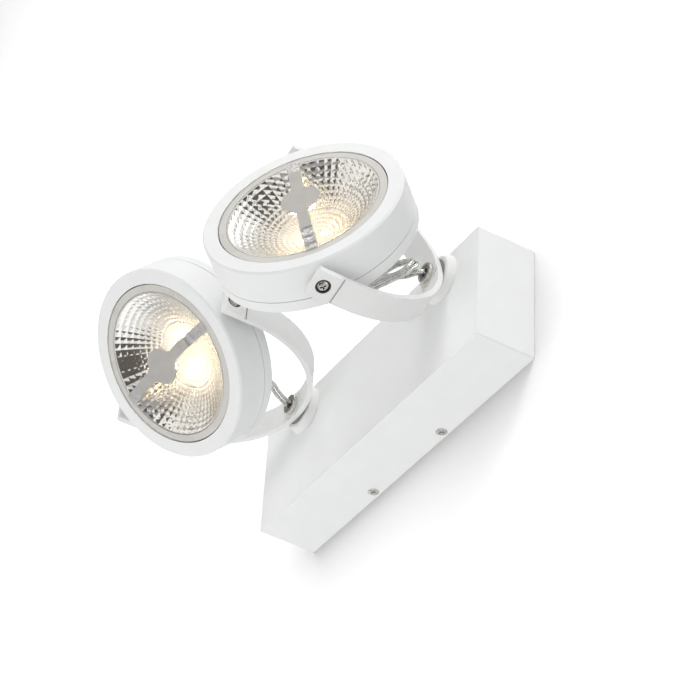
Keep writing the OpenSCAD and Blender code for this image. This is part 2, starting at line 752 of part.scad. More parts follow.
// Rear cover: a flange behind the ring, a shallow cone and a drum round the lamp's back
module rear_cover(side) {
    color([0.9, 0.91, 0.9]) at_head(side) difference() {
        rotate_extrude($fn = round_fn) polygon([
            [cap_flange_r, -head_seam], [head_r - seam_depth, -head_seam],
            [head_r - seam_depth, -head_seam - seam_gap], [head_r, -head_seam - seam_gap],
            [head_r, -head_back + cap_round], [head_r - cap_round, -head_back], [cap_cone_r, -head_back],
            [drum_r, -cap_cone_end], [drum_r, -drum_back + cap_round], [drum_r - cap_round, -drum_back],
            [gland_r, -drum_back], [gland_r, -drum_back + cap_wall],
            [drum_r - cap_wall, -drum_back + cap_wall],
            [drum_r - cap_wall, -cap_cone_end + cap_wall], [cap_cone_r, -head_back + cap_wall],
            [cap_flange_r, -head_back + cap_wall]
        ]);
        at_rear_screws() rod(-over, cap_screw_l, cap_screw_r + slip);
        at_rear_screws() rod(-over, cap_screw_head_t + slip, cap_screw_head_r + slip);
    }
}
module rear_cover_left() { rear_cover(LEFT); }
module rear_cover_right() { rear_cover(RIGHT); }
// Screws of the rear cover, with Z pointing forwards from the back edge
module at_rear_screws() {
    for (i = [0:cap_screw_count - 1]) rotate([0, 0, cap_screw_first + full_turn * i / cap_screw_count])
        translate([cap_screw_at, 0, -head_back]) children();
}
module rear_screws(side) {
    color([0.75, 0.75, 0.76]) at_head(side) at_rear_screws() difference() {
        union() {
            rod(0, cap_screw_head_t, cap_screw_head_r);
            rod(0, cap_screw_l, cap_screw_r);
        }
        cross_cut(cross_l, cross_w, cross_depth);
    }
}
module rear_screws_left() { rear_screws(LEFT); }
module rear_screws_right() { rear_screws(RIGHT); }
// Pan head screws that the head tilts on
module pivot_screws(side) {
    dome_low = screw_head_low + screw_head_t - screw_dome_t;
    color([0.8, 0.79, 0.76]) at_head(side) at_pivots() difference() {
        union() {
            rod(screw_reach, screw_head_low, screw_r);
            rod(screw_head_low, dome_low, screw_head_r);
            translate([0, 0, dome_low])
                cylinder(h = screw_dome_t, r1 = screw_head_r, r2 = screw_r, $fn = small_fn);
        }
        translate([0, 0, dome_low + screw_dome_t]) mirror([0, 0, 1])
            cross_cut(cross_l, cross_w, cross_depth);
    }
}
module pivot_screws_left() { pivot_screws(LEFT); }
module pivot_screws_right() { pivot_screws(RIGHT); }
module pivot_collars(side) {
    color([0.9, 0.91, 0.9]) at_head(side) at_pivots() pipe(spot_x, arm_in - fit, collar_r, screw_r + slip);
}
module pivot_collars_left() { pivot_collars(LEFT); }
module pivot_collars_right() { pivot_collars(RIGHT); }

// Flat rim of the lamp, stepped inside for the reflector
module lamp_rim(side) {
    color([0.84, 0.84, 0.83]) at_head(side) rotate_extrude($fn = round_fn) polygon([
        [mouth_r, lamp_face], [lamp_d / 2 - fit, lamp_face], [lamp_d / 2, lamp_face - fit],
        [lamp_d / 2, lamp_face - rim_t], [bowl_flange_r + slip, lamp_face - rim_t],
        [bowl_flange_r + slip, bowl_top], [mouth_r, bowl_top]
    ]);
}
module lamp_rim_left() { lamp_rim(LEFT); }
module lamp_rim_right() { lamp_rim(RIGHT); }
// Height of the bowl at radius r: a parabola from the bottom to the mouth
function bowl_z(r) = bowl_low + bowl_depth * pow(r / mouth_r, 2);
function bowl_r(i) = bowl_hole_r + (mouth_r - bowl_hole_r) * i / bowl_steps;
module reflector(side) {
    color([0.75, 0.74, 0.72]) at_head(side) rotate_extrude($fn = round_fn) polygon(concat(
        [for (i = [0:bowl_steps]) [bowl_r(i), bowl_z(bowl_r(i))]],
        [[bowl_flange_r, bowl_top], [bowl_flange_r, bowl_top - bowl_flange_t]],
        [for (i = [bowl_steps - 1:-1:0]) [bowl_r(i), bowl_z(bowl_r(i)) - bowl_wall * bowl_slant]]
    ));
}
module reflector_left() { reflector(LEFT); }
module reflector_right() { reflector(RIGHT); }
// Raised bridge across the lamp along the tilt axis: a satin plate on stepped, polished arms
module lamp_bridge(side) {
    under = plate_z - plate_t;
    rise = under - lamp_face;
    step_l = (mouth_r - bridge_reach) / arm_steps;
    color([0.68, 0.68, 0.67]) at_head(side) union() {
        translate([0, 0, under]) linear_extrude(height = plate_t) bridge_outline();
        block([-bridge_reach, -arm_w / 2, under - bridge_base_t], [bridge_reach, arm_w / 2, under]);
        rod(under - bridge_base_t, under, module_r);
        for (way = [-1, 1]) for (i = [0:arm_steps - 1])
            rotate([0, 0, way < 0 ? half_turn : 0])
                block([bridge_reach + step_l * i - slip, -arm_w / 2, lamp_face - bridge_base_t],
                      [bridge_reach + step_l * (i + 1), arm_w / 2, lamp_face + rise * (1 - i / arm_steps)]);
    }
}
// Round middle with arms that flow out of it
module bridge_outline() {
    notch_x = sqrt(pow(bridge_r + bridge_fillet_r, 2) - pow(arm_w / 2 + bridge_fillet_r, 2));
    circle(r = bridge_r, $fn = small_fn);
    square([2 * bridge_reach, arm_w], center = true);
    difference() {
        square([2 * notch_x, arm_w + bridge_r], center = true);
        for (x = [-notch_x, notch_x]) for (y = [-1, 1])
            translate([x, y * (arm_w / 2 + bridge_fillet_r)]) circle(r = bridge_fillet_r, $fn = small_fn);
        for (y = [-1, 1]) translate([0, y * (bridge_r + arm_w / 2 + bridge_r / 4)])
            square([2 * notch_x + over, bridge_r], center = true);
    }
}
module lamp_bridge_left() { lamp_bridge(LEFT); }
module lamp_bridge_right() { lamp_bridge(RIGHT); }
// Light-emitting module under the bridge, facing back into the reflector
module led_module(side) {
    top = plate_z - plate_t - bridge_base_t;
    color([0.95, 0.85, 0.5]) at_head(side) union() {
        rod(top - module_t, top, module_r);
        rod(top - module_t - dome_t, top - module_t, dome_r);
    }
}
module led_module_left() { led_module(LEFT); }
module led_module_right() { led_module(RIGHT); }
// Lamp's finned rear housing, with a hollow for its electronics
module lamp_body(side) {
    color([0.62, 0.62, 0.62]) at_head(side) union() {
        rotate_extrude($fn = round_fn) polygon([
            [bowl_flange_r - housing_lip, housing_top], [bowl_flange_r, housing_top],
            [bowl_flange_r, lamp_face - rim_t], [housing_r, lamp_face - rim_t - slip],
            [housing_r, -housing_side],
            [lamp_rear_r, -housing_cone_end], [lamp_rear_r, -lamp_back], [0, -lamp_back],
            [0, -lamp_back + housing_wall], [lamp_rear_r - housing_wall, -lamp_back + housing_wall],
            [lamp_rear_r - housing_wall, -housing_cone_end + housing_wall],
            [housing_r - housing_wall, -housing_side + housing_wall / 2],
            [housing_r - housing_wall, lamp_face - rim_t - slip]
        ]);
        for (i = [0:rib_count - 1]) rotate([0, 0, full_turn * (i + 0.5) / rib_count])
            rotate([quarter_turn, 0, 0]) translate([0, 0, -rib_t / 2])
                linear_extrude(height = rib_t) polygon([
                    [housing_r - housing_wall / 2, -housing_side - slip],
                    [housing_r - housing_wall / 2, -rib_outer_z],
                    [rib_end_r, -rib_end_z],
                    [rib_end_r, -rib_end_z + housing_wall / 2]
                ]);
    }
}
module lamp_body_left() { lamp_body(LEFT); }
module lamp_body_right() { lamp_body(RIGHT); }
module lamp_contacts(side) {
    color([0.8, 0.75, 0.5]) at_head(side) for (x = [-contact_at, contact_at])
        block([x - contact_t / 2, -contact_w / 2, -lamp_back - contact_l],
              [x + contact_t / 2, contact_w / 2, -lamp_back]);
}
module lamp_contacts_left() { lamp_contacts(LEFT); }
module lamp_contacts_right() { lamp_contacts(RIGHT); }
// Ceramic connector on the lamp's two contacts
module lamp_socket(side) {
    color([0.9, 0.88, 0.82]) at_head(side) difference() {
        rod(-lamp_back - slip - socket_t, -lamp_back - slip, socket_r);
        for (x = [-contact_at, contact_at])
            block([x - contact_t / 2 - slip, -contact_w / 2 - slip, -lamp_back - socket_t - over],
                  [x + contact_t / 2 + slip, contact_w / 2 + slip, -lamp_back + over]);
    }
}
module lamp_socket_left() { lamp_socket(LEFT); }
module lamp_socket_right() { lamp_socket(RIGHT); }
// Spring clips behind the shoulder that grip the lamp's housing
module lamp_clips(side) {
    top = shoulder_top - shoulder_t;
    color([0.72, 0.72, 0.73]) at_head(side) for (i = [0:clip_count - 1])
        rotate([0, 0, clip_first + full_turn * i / clip_count]) union() {
            block([housing_r + slip, -clip_w / 2, top - clip_t], [ring_bore_r - fit, clip_w / 2, top]);
            block([housing_r + slip, -clip_w / 2, top - clip_drop],
                  [housing_r + slip + clip_t, clip_w / 2, top]);
        }
}
module lamp_clips_left() { lamp_clips(LEFT); }
module lamp_clips_right() { lamp_clips(RIGHT); }
// Rubber gland where the flex enters the drum
module cable_gland(side) {
    bore = flex_d / 2 + slip;
    color([0.85, 0.86, 0.85]) at_head(side) rotate_extrude($fn = small_fn) polygon([
        [bore, -drum_back + cap_wall], [gland_r - slip, -drum_back + cap_wall], [gland_r - slip, -drum_back],
        [gland_flange_r, -drum_back], [gland_flange_r, -drum_back - gland_flange_t],
        [gland_tip_r, -drum_back - gland_l], [bore, -drum_back - gland_l]
    ]);
}
module cable_gland_left() { cable_gland(LEFT); }
module cable_gland_right() { cable_gland(RIGHT); }

base_cover();
wall_bracket();
cover_screws();
driver();
driver_screws();
terminal_block();
terminal_screws();
earth_screw();
earth_lead();
mains_leads();
lamp_leads_left();
lamp_leads_right();
cable_grommet();
swivel_disc_left();
swivel_disc_right();
yoke_left();
swivel_nipple_left();
nipple_bush_left();
swivel_washer_left();
stop_washer_left();
lock_nut_left();
pivot_bushes_left();
flex_left();
yoke_right();
swivel_nipple_right();
nipple_bush_right();
swivel_washer_right();
stop_washer_right();
lock_nut_right();
pivot_bushes_right();
flex_right();
head_ring_left();
rear_cover_left();
rear_screws_left();
pivot_screws_left();
pivot_collars_left();
lamp_rim_left();
reflector_left();
lamp_bridge_left();
led_module_left();
lamp_body_left();
lamp_contacts_left();
lamp_socket_left();
lamp_clips_left();
cable_gland_left();
head_ring_right();
rear_cover_right();
rear_screws_right();
pivot_screws_right();
pivot_collars_right();
lamp_rim_right();
reflector_right();
lamp_bridge_right();
led_module_right();
lamp_body_right();
lamp_contacts_right();
lamp_socket_right();
lamp_clips_right();
cable_gland_right();
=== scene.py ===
from math import cos, pi, radians, sin

import bpy
from mathutils import Matrix, Vector


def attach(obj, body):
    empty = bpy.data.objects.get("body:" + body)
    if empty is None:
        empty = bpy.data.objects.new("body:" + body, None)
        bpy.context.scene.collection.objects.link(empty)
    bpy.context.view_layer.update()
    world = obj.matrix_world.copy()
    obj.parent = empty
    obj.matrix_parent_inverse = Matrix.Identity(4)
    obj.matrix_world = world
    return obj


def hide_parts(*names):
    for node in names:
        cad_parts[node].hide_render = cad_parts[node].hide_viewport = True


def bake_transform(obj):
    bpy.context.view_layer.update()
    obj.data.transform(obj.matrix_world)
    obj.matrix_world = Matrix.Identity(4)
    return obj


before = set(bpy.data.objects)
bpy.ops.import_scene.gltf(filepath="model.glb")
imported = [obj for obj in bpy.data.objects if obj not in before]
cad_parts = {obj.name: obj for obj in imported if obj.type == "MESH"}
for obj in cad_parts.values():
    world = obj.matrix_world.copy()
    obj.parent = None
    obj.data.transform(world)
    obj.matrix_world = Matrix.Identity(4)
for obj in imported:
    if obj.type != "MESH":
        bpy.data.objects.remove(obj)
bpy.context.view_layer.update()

mm = 0.001
sides = ("left", "right")

# The light is seen from below and from the right-hand end, with a long lens about 1.6 m away.
camera_place = (1.06129, -0.65895, -0.95677)
camera_turn = (radians(128.8255), radians(-2.7637), radians(58.1747))
bpy.ops.object.camera_add(location=camera_place, rotation=camera_turn)
camera = bpy.context.object
camera.data.lens = 121.3526
camera.data.clip_end = 20
bpy.context.scene.camera = camera
bpy.context.scene.view_settings.view_transform = "Standard"

# Studio: a white board that the base stands against, and a pale floor well below it. From the front
# they are white with the light's own shadow on them; from behind they let the camera look through.
board = bpy.data.materials.new("studio_white")
board.use_nodes = True
nodes, links = board.node_tree.nodes, board.node_tree.links
nodes.clear()
output = nodes.new("ShaderNodeOutputMaterial")
paper = nodes.new("ShaderNodeBsdfDiffuse")
paper.inputs["Color"].default_value = (0.45, 0.45, 0.45, 1)
glow = nodes.new("ShaderNodeEmission")
rays = nodes.new("ShaderNodeLightPath")
seen = nodes.new("ShaderNodeMath")
seen.operation = "MAXIMUM"
links.new(rays.outputs["Is Camera Ray"], seen.inputs[0])
links.new(rays.outputs["Is Glossy Ray"], seen.inputs[1])
seen_all = nodes.new("ShaderNodeMath")
seen_all.operation = "MAXIMUM"
links.new(seen.outputs[0], seen_all.inputs[0])
links.new(rays.outputs["Is Transmission Ray"], seen_all.inputs[1])
lift = nodes.new("ShaderNodeMath")
lift.operation = "MULTIPLY"
lift.inputs[1].default_value = 0.02
links.new(seen_all.outputs[0], lift.inputs[0])
links.new(lift.outputs[0], glow.inputs["Strength"])
front = nodes.new("ShaderNodeAddShader")
links.new(paper.outputs[0], front.inputs[0])
links.new(glow.outputs[0], front.inputs[1])
clear = nodes.new("ShaderNodeBsdfTransparent")
either = nodes.new("ShaderNodeMixShader")
geometry = nodes.new("ShaderNodeNewGeometry")
links.new(geometry.outputs["Backfacing"], either.inputs["Fac"])
links.new(front.outputs[0], either.inputs[1])
links.new(clear.outputs[0], either.inputs[2])
links.new(either.outputs[0], output.inputs["Surface"])
board_size = 12
board_gap = 0.3 * mm
floor_drop = 1.3
bpy.ops.mesh.primitive_plane_add(size=board_size, location=(0, board_gap, 0), rotation=(pi / 2, 0, 0))
wall = bpy.context.object
wall.name = "studio_wall"
bpy.ops.mesh.primitive_plane_add(size=board_size, location=(0, 0, -floor_drop))
floor = bpy.context.object
floor.name = "studio_floor"
for sheet in (wall, floor):
    sheet.data.materials.append(board)
    sheet.visible_diffuse = False
    sheet.visible_shadow = False

# Studio surround: even white light from everywhere. Polished metal sees a room with white screens
# and dark gaps instead.
world = bpy.data.worlds.new("studio_surround")
bpy.context.scene.world = world
world.use_nodes = True
surround = world.node_tree.nodes["Background"]
nodes, links = world.node_tree.nodes, world.node_tree.links
rays = nodes.new("ShaderNodeLightPath")
level = nodes.new("ShaderNodeMapRange")
level.inputs["To Min"].default_value = 1.0
level.inputs["To Max"].default_value = 0.63
links.new(rays.outputs["Is Diffuse Ray"], level.inputs["Value"])
links.new(level.outputs[0], surround.inputs["Strength"])
direction = nodes.new("ShaderNodeTexCoord")
room = nodes.new("ShaderNodeTexNoise")
room.inputs["Scale"].default_value = 4.2
room.inputs["Detail"].default_value = 1
links.new(direction.outputs["Generated"], room.inputs["Vector"])
screens = nodes.new("ShaderNodeValToRGB")
screens.color_ramp.elements[0].position = 0.36
screens.color_ramp.elements[0].color = (0.20, 0.185, 0.165, 1)
screens.color_ramp.elements[1].position = 0.46
screens.color_ramp.elements[1].color = (0.97, 0.955, 0.925, 1)
links.new(room.outputs["Fac"], screens.inputs["Fac"])
either = nodes.new("ShaderNodeMix")
either.data_type = "RGBA"
either.inputs[6].default_value = (1, 1, 1, 1)
links.new(rays.outputs["Is Glossy Ray"], either.inputs[0])
links.new(screens.outputs["Color"], either.inputs[7])
links.new(either.outputs[2], surround.inputs["Color"])

# Soft boxes: one above on the right that throws the shadow, and weaker ones on the other sides.
lit_place = Vector((0, -0.08, 0))


def aim(thing, target, axis):
    """Turns a light or a flag until its axis points at the target."""
    thing.rotation_euler = (target - thing.location).to_track_quat(axis, "Y").to_euler()


def add_soft_box(name, place, size, watts):
    """A square light aimed at the base; polished metal doesn't show it."""
    bpy.ops.object.light_add(type="AREA", location=place)
    box = bpy.context.object
    box.name = name
    box.data.size = size
    box.data.energy = watts
    box.visible_glossy = False
    aim(box, lit_place, "-Z")
    return box


for name, place, size, watts in (
    ("soft_box_above", (1.0, -0.75, 1.45), 0.8, 18),
    ("soft_box_below", (0.1, -0.45, -1.6), 1.4, 7),
    ("soft_box_right", (1.7, -0.5, -0.3), 1.4, 3),
    ("soft_box_left", (-1.3, -0.9, -0.6), 1.2, 7),
):
    add_soft_box(name, place, size, watts)

# A broad light that falls on the board and the floor only, so that the spotlight's shadow stays short.
board_light = add_soft_box("board_light", (0.05, -1.9, 0.7), 2.2, 108)
lit_board = bpy.data.collections.new("lit_board")
for sheet in (wall, floor):
    lit_board.objects.link(sheet)
board_light.light_linking.receiver_collection = lit_board

# Black flags that only polished metal shows: two for the left reflector, below and ahead of it, and
# one for the right reflector, out to the right.
mirrored_place = Vector((0, -0.14, 0.03))
flag_cloth = bpy.data.materials.new("flag_cloth")
flag_cloth.use_nodes = True
flag_cloth.node_tree.nodes["Principled BSDF"].inputs["Base Color"].default_value = (0.055, 0.046, 0.038, 1)
for name, place, size in (
    ("flag_below", (0.3, -0.4, -1.15), 1.35),
    ("flag_ahead", (0.86, -2.46, -0.1), 0.95),
    ("flag_right", (1.15, -0.53, 0.44), 0.6),
):
    bpy.ops.mesh.primitive_plane_add(size=size, location=place)
    flag = bpy.context.object
    flag.name = name
    aim(flag, mirrored_place, "Z")
    flag.data.materials.append(flag_cloth)
    flag.visible_camera = flag.visible_diffuse = flag.visible_shadow = False


# Where each yoke and head stands: the swivel on the base's face, the yoke's turn about it, then the
# tilt axis further out and the head's tilt. A piece is modelled in that frame and then put there.
base_depth = 43 * mm
swivel_height = 27 * mm
swivel = {"left": (-78 * mm, -base_depth, swivel_height), "right": (91 * mm, -base_depth, swivel_height)}
yoke_turn = {"left": radians(-1.4), "right": radians(-70.6)}
head_tilt = {"left": radians(45.9), "right": radians(-40.1)}
pivot_out = 100.25 * mm
yoke_frame, head_frame = {}, {}
for s in sides:
    upright = Matrix.Translation(swivel[s]) @ Matrix.Rotation(pi / 2, 4, "X")
    yoke_frame[s] = upright @ Matrix.Rotation(yoke_turn[s], 4, "Z")
    tilt_axis = yoke_frame[s] @ Matrix.Translation((0, 0, pivot_out))
    head_frame[s] = tilt_axis @ Matrix.Rotation(head_tilt[s], 4, "X")


def main_shader(material):
    """The node that holds the material's colour, roughness and metal."""
    return material.node_tree.nodes["Principled BSDF"]


def new_material(name, colour, roughness, metallic=0.0):
    """A material with its main shader set; a section then adds grain, sheen or variation."""
    material = bpy.data.materials.new(name)
    material.use_nodes = True
    shader = main_shader(material)
    shader.inputs["Base Color"].default_value = (*colour, 1)
    shader.inputs["Roughness"].default_value = roughness
    shader.inputs["Metallic"].default_value = metallic
    return material


def add_variation(material, colours, scale, rough=None):
    """Lets the colour, and the roughness if given, drift softly over the surface."""
    nodes, links = material.node_tree.nodes, material.node_tree.links
    shader = main_shader(material)
    low, high = 0.3, 0.7
    place = nodes.new("ShaderNodeTexCoord")
    noise = nodes.new("ShaderNodeTexNoise")
    noise.inputs["Scale"].default_value = scale
    noise.inputs["Detail"].default_value = 4
    links.new(place.outputs["Object"], noise.inputs["Vector"])
    ramp = nodes.new("ShaderNodeValToRGB")
    ramp.color_ramp.elements[0].position = low
    ramp.color_ramp.elements[1].position = high
    ramp.color_ramp.elements[0].color = (*colours[0], 1)
    ramp.color_ramp.elements[1].color = (*colours[1], 1)
    links.new(noise.outputs["Fac"], ramp.inputs["Fac"])
    links.new(ramp.outputs["Color"], shader.inputs["Base Color"])
    if rough:
        span = nodes.new("ShaderNodeMapRange")
        span.inputs["From Min"].default_value = low
        span.inputs["From Max"].default_value = high
        span.inputs["To Min"].default_value, span.inputs["To Max"].default_value = rough
        links.new(noise.outputs["Fac"], span.inputs["Value"])
        links.new(span.outputs[0], shader.inputs["Roughness"])


def add_grain(material, scale, depth, stretch=(1, 1, 1)):
    """Raises a fine grain: scale in grains per metre, depth in metres."""
    nodes, links = material.node_tree.nodes, material.node_tree.links
    place = nodes.new("ShaderNodeTexCoord")
    along = nodes.new("ShaderNodeMapping")
    along.inputs["Scale"].default_value = stretch
    noise = nodes.new("ShaderNodeTexNoise")
    noise.inputs["Scale"].default_value = scale
    noise.inputs["Detail"].default_value = 2
    bump = nodes.new("ShaderNodeBump")
    bump.inputs["Distance"].default_value = depth
    links.new(place.outputs["Object"], along.inputs["Vector"])
    links.new(along.outputs[0], noise.inputs["Vector"])
    links.new(noise.outputs["Fac"], bump.inputs["Height"])
    links.new(bump.outputs[0], main_shader(material).inputs["Normal"])


def paint_shade_in_recesses(material, dark, reach, closed, clear):
    """Paints shade: a darker tone where walls within the reach close a place in, standing in for the shade
    that falls there.
    """
    nodes, links = material.node_tree.nodes, material.node_tree.links
    colour = main_shader(material).inputs["Base Color"]
    recess = nodes.new("ShaderNodeAmbientOcclusion")
    recess.inputs["Distance"].default_value = reach
    recess.only_local = True
    open_face = nodes.new("ShaderNodeMapRange")
    open_face.inputs["From Min"].default_value = closed
    open_face.inputs["From Max"].default_value = clear
    mix = nodes.new("ShaderNodeMix")
    mix.data_type = "RGBA"
    mix.inputs[6].default_value = (*dark, 1)
    links.new(recess.outputs["AO"], open_face.inputs["Value"])
    links.new(open_face.outputs[0], mix.inputs[0])
    links.new(colour.links[0].from_socket, mix.inputs[7])
    links.new(mix.outputs[2], colour)


# Each flex is a flat clear twin cable, 5.6 by 2.8 mm. It leaves the base through the nipple, hangs
# slack behind the head and enters the drum through its gland; two tinned strand bundles show inside.
routes = {
    "left": [(0, 0, -11), (0, 0, -2), (0, 0, 8), (0, 0, 14), (0, 1.5, 18.5), (0, 4.5, 23), (0, 8.5, 27),
             (-1, 14, 31.5), (-2, 20.5, 35), (-3, 27.5, 37), (-3, 34.5, 38), (-3, 41, 40), (-3, 45.5, 44),
             (-2, 47, 49.5), (-1, 44.5, 55.5), (0, 40.22, 61.28), (0, 35.91, 65.45), (0, 29.44, 71.72)],
    "right": [(0, 0, -11), (0, 0, -2), (0, 0, 8), (0, 0, 13), (0, -0.7, 16), (0, -3, 19), (-0.5, -7, 23),
              (-1, -11, 28), (-1.5, -16, 33), (-2, -22, 38), (-1, -27.5, 42.5), (2, -30, 45.5),
              (6, -27.5, 45.5), (8.5, -22, 43), (9, -16, 39.3), (9, -10.5, 35.7), (8.5, -5.5, 32),
              (7, -0.8, 28.5), (4.3, 2.4, 25.5), (0.3, 3.9, 23.3), (-3.8, 1.3, 23.7), (-7, -3.2, 26.8),
              (-8.8, -9.5, 30.5), (-9.3, -16.5, 33.3), (-9.3, -24, 35.7), (-8, -31.5, 39), (-5, -37, 44),
              (-2, -38.5, 50), (0, -36.07, 57.41), (0, -32.21, 62.0), (0, -26.41, 68.89)],
}
flex_roll = {"left": radians(44), "right": radians(98)}
lobe_r = 1.4 * mm
lobe_arc = radians(150)
lobe_steps = 12
curve_steps = 6
core_r = 0.98 * mm
core_steps = 36
strand_groups = 7
valley_share = 0.3
strand_lay = 60 * mm
roll_share = 0.1
cord_fold = radians(50)


def easy_curve(points, steps):
    """A smooth line through the points of a route."""
    line = []
    ends = [points[0] * 2 - points[1]] + points + [points[-1] * 2 - points[-2]]
    for a, b, c, d in zip(ends, ends[1:], ends[2:], ends[3:]):
        for k in range(steps):
            t = k / steps
            line.append(0.5 * (2 * b + (c - a) * t + (2 * a - 5 * b + 4 * c - d) * t * t
                               + (3 * b - a - 3 * c + d) * t ** 3))
    return line + [points[-1]]


def cable_frames(line, first, roll):
    """The cable's flat and thin direction at each point; it rolls over and back on its way."""
    frames = []
    flat = first
    for i in range(len(line)):
        ahead = (line[min(i + 1, len(line) - 1)] - line[max(i - 1, 0)]).normalized()
        flat = (flat - ahead * flat.dot(ahead)).normalized()
        thin = ahead.cross(flat)
        way = min(i, len(line) - 1 - i) / len(line)
        a = roll * min(1, max(0, (way - roll_share) / roll_share))
        frames.append((flat * cos(a) + thin * sin(a), thin * cos(a) - flat * sin(a)))
    return frames


def pick(piece):
    """Selects one piece alone, for the operators that follow."""
    bpy.ops.object.select_all(action="DESELECT")
    piece.select_set(True)
    bpy.context.view_layer.objects.active = piece


def sweep(name, line, frames, section):
    """A closed skin along the line; section(distance) gives its outline there."""
    corners, faces = [], []
    distance = 0
    for i, (point, (flat, thin)) in enumerate(zip(line, frames)):
        distance += (point - line[max(i - 1, 0)]).length
        outline = section(distance)
        corners += [point + flat * u + thin * v for u, v in outline]
    n = len(outline)
    for i in range(len(line) - 1):
        near, far = i * n, (i + 1) * n
        faces += [(near + k, near + (k + 1) % n, far + (k + 1) % n, far + k) for k in range(n)]
    faces += [tuple(reversed(range(n))), tuple(range((len(line) - 1) * n, len(line) * n))]
    mesh = bpy.data.meshes.new(name)
    mesh.from_pydata(corners, [], faces)
    piece = bpy.data.objects.new(name, mesh)
    bpy.context.scene.collection.objects.link(piece)
    pick(piece)
    bpy.ops.object.mode_set(mode="EDIT")
    bpy.ops.mesh.select_all(action="SELECT")
    bpy.ops.mesh.normals_make_consistent(inside=False)
    bpy.ops.object.mode_set(mode="OBJECT")
    bpy.ops.object.shade_smooth_by_angle(angle=cord_fold)
    return piece


def jacket_outline(distance):
    """Two round lobes joined by a web, as a flat twin cable is, the same at every distance."""
    turns = [-lobe_arc + 2 * lobe_arc * k / lobe_steps for k in range(lobe_steps + 1)]
    right = [(lobe_r + lobe_r * cos(t), lobe_r * sin(t)) for t in turns]
    return right + [(-u, -v) for u, v in right]


def core_outline(side_of_web):
    """A bundle of strand groups in one lobe, laid up with a slow twist."""
    def outline(distance):
        turn = side_of_web * 2 * pi * distance / strand_lay
        ring = []
        for k in range(core_steps):
            t = 2 * pi * k / core_steps
            r = core_r * (1 - valley_share + valley_share * abs(cos(strand_groups / 2 * t)))
            ring.append((side_of_web * lobe_r + r * cos(t + turn), r * sin(t + turn)))
        return ring
    return outline


clear_jacket = new_material("clear_cable_jacket", (0.93, 0.94, 0.93), 0.08)
main_shader(clear_jacket).inputs["Transmission Weight"].default_value = 1.0
main_shader(clear_jacket).inputs["IOR"].default_value = 1.46
add_grain(clear_jacket, 260, 0.05 * mm)
tinned = new_material("tinned_strands", (0.86, 0.85, 0.83), 0.22, 1.0)
add_variation(tinned, ((0.70, 0.69, 0.67), (0.90, 0.89, 0.88)), 300, (0.16, 0.28))
# Painted shade: the strands are darkened where neighbouring strand groups close them in.
paint_shade_in_recesses(tinned, dark=(0.06, 0.055, 0.05), reach=0.6 * mm, closed=0.35, clear=0.85)
for s in sides:
    points = [yoke_frame[s] @ (Vector(p) * mm) for p in routes[s]]
    line = easy_curve(points, curve_steps)
    frames = cable_frames(line, yoke_frame[s].to_3x3() @ Vector((1, 0, 0)), flex_roll[s])
    jacket = sweep("flex_" + s + "_jacket", line, frames, jacket_outline)
    jacket.data.materials.append(clear_jacket)
    cores = [sweep("flex_" + s + "_core_" + name, line, frames, core_outline(way))
             for name, way in (("a", -1), ("b", 1))]
    for core in cores:
        core.data.materials.append(tinned)
    for piece in [jacket] + cores:
        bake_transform(piece)
    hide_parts("flex_" + s)


# Base cover, yokes and swivel discs: folded sheet, bent strap and turned discs, all steel with one matt
# white powder coat and its fine orange-peel grain, painted lighter on the cover and darker on the yokes
# and discs. It rounds the cover's and the discs' edges.
def powder_coat(name, colour, drift):
    """A matt coat whose colour drifts between two close tones."""
    coat = new_material(name, colour, 0.5)
    main_shader(coat).inputs["Specular IOR Level"].default_value = 0.4
    add_variation(coat, drift, 60, (0.46, 0.56))
    add_grain(coat, 1500, 0.02 * mm)
    return coat


# Painted light: the cover's copy of the coat is lighter than the heads' copy of the same coat.
white_coat = powder_coat("white_powder_coat", (0.84, 0.85, 0.84),
                         ((0.83, 0.84, 0.835), (0.855, 0.865, 0.86)))
# Painted shade: the yokes' and discs' copy of the coat is darker than the heads' copy.
strap_coat_painted_darker = powder_coat("white_coat_on_strap", (0.78, 0.785, 0.775),
                         ((0.77, 0.775, 0.765), (0.795, 0.80, 0.79)))
# Painted shade along the pad's step and in the other recesses of the yokes and discs.
paint_shade_in_recesses(strap_coat_painted_darker, dark=(0.13, 0.12, 0.11), reach=2.0 * mm, closed=0.35, clear=0.7)
fold_angle = radians(32)
weld_gap = 0.002 * mm
flat_angle = radians(0.3)


def smooth_by_angle(angle):
    """A node group that shades faces smooth, but keeps edges sharper than the angle."""
    group = bpy.data.node_groups.new("smooth_by_angle", "GeometryNodeTree")
    group.interface.new_socket("Geometry", in_out="INPUT", socket_type="NodeSocketGeometry")
    group.interface.new_socket("Geometry", in_out="OUTPUT", socket_type="NodeSocketGeometry")
    nodes, links = group.nodes, group.links
    start, end = nodes.new("NodeGroupInput"), nodes.new("NodeGroupOutput")
    faces = nodes.new("GeometryNodeSetShadeSmooth")
    edges = nodes.new("GeometryNodeSetShadeSmooth")
    edges.domain = "EDGE"
    edges.inputs["Shade Smooth"].default_value = False
    fold = nodes.new("GeometryNodeInputMeshEdgeAngle")
    sharp = nodes.new("FunctionNodeCompare")
    sharp.operation = "GREATER_THAN"
    sharp.inputs[1].default_value = angle
    links.new(fold.outputs["Unsigned Angle"], sharp.inputs[0])
    links.new(start.outputs[0], faces.inputs["Geometry"])
    links.new(faces.outputs[0], edges.inputs["Geometry"])
    links.new(sharp.outputs[0], edges.inputs["Selection"])
    links.new(edges.outputs[0], end.inputs[0])
    return group


smoothing = smooth_by_angle(fold_angle)


